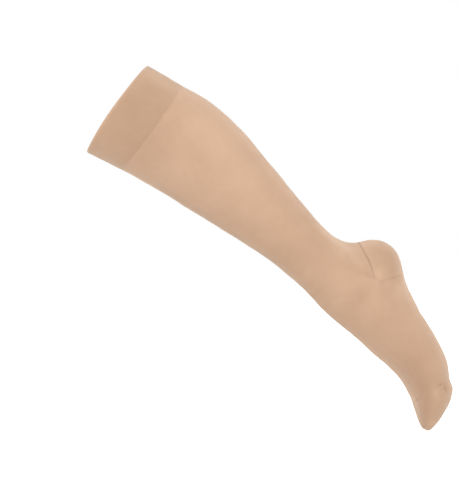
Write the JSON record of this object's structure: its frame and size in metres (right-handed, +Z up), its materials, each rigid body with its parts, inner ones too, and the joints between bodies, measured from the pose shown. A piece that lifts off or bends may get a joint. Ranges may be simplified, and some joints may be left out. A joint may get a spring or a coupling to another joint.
{
  "type": "compression stocking",
  "caption": "Closed-toe knee-high compression stocking with a doubled top band, a knitted heel pocket and a reinforced toe, hollow and filled out as worn on a swung-back leg.",
  "frame": {"origin": "middle of the top opening, in the plane of the folded top edge, where the leg below the knee holds the stocking up", "axes": "+Z up; +X horizontal, the way the calf faces and the foot hangs with the leg swung back, so that the leg runs down 37 degrees below +X; +Y across the leg, the stocking being alike on both sides of Y = 0"},
  "size_m": [0.4021, 0.1112, 0.4004],
  "materials": {
    "band_knit": "matt beige double knit, folded at the top edge",
    "leg_knit": "matt beige fine elastic knit",
    "heel_knit": "matt beige dense knit",
    "toe_knit": "matt beige dense knit"
  },
  "bodies": {
    "root": {"top_band": "band_knit", "leg_upper": "leg_knit", "leg_lower": "leg_knit", "heel_pocket": "heel_knit", "foot_back": "leg_knit", "foot_front": "leg_knit", "toe_cap": "toe_knit"}
  },
  "joints": []
}
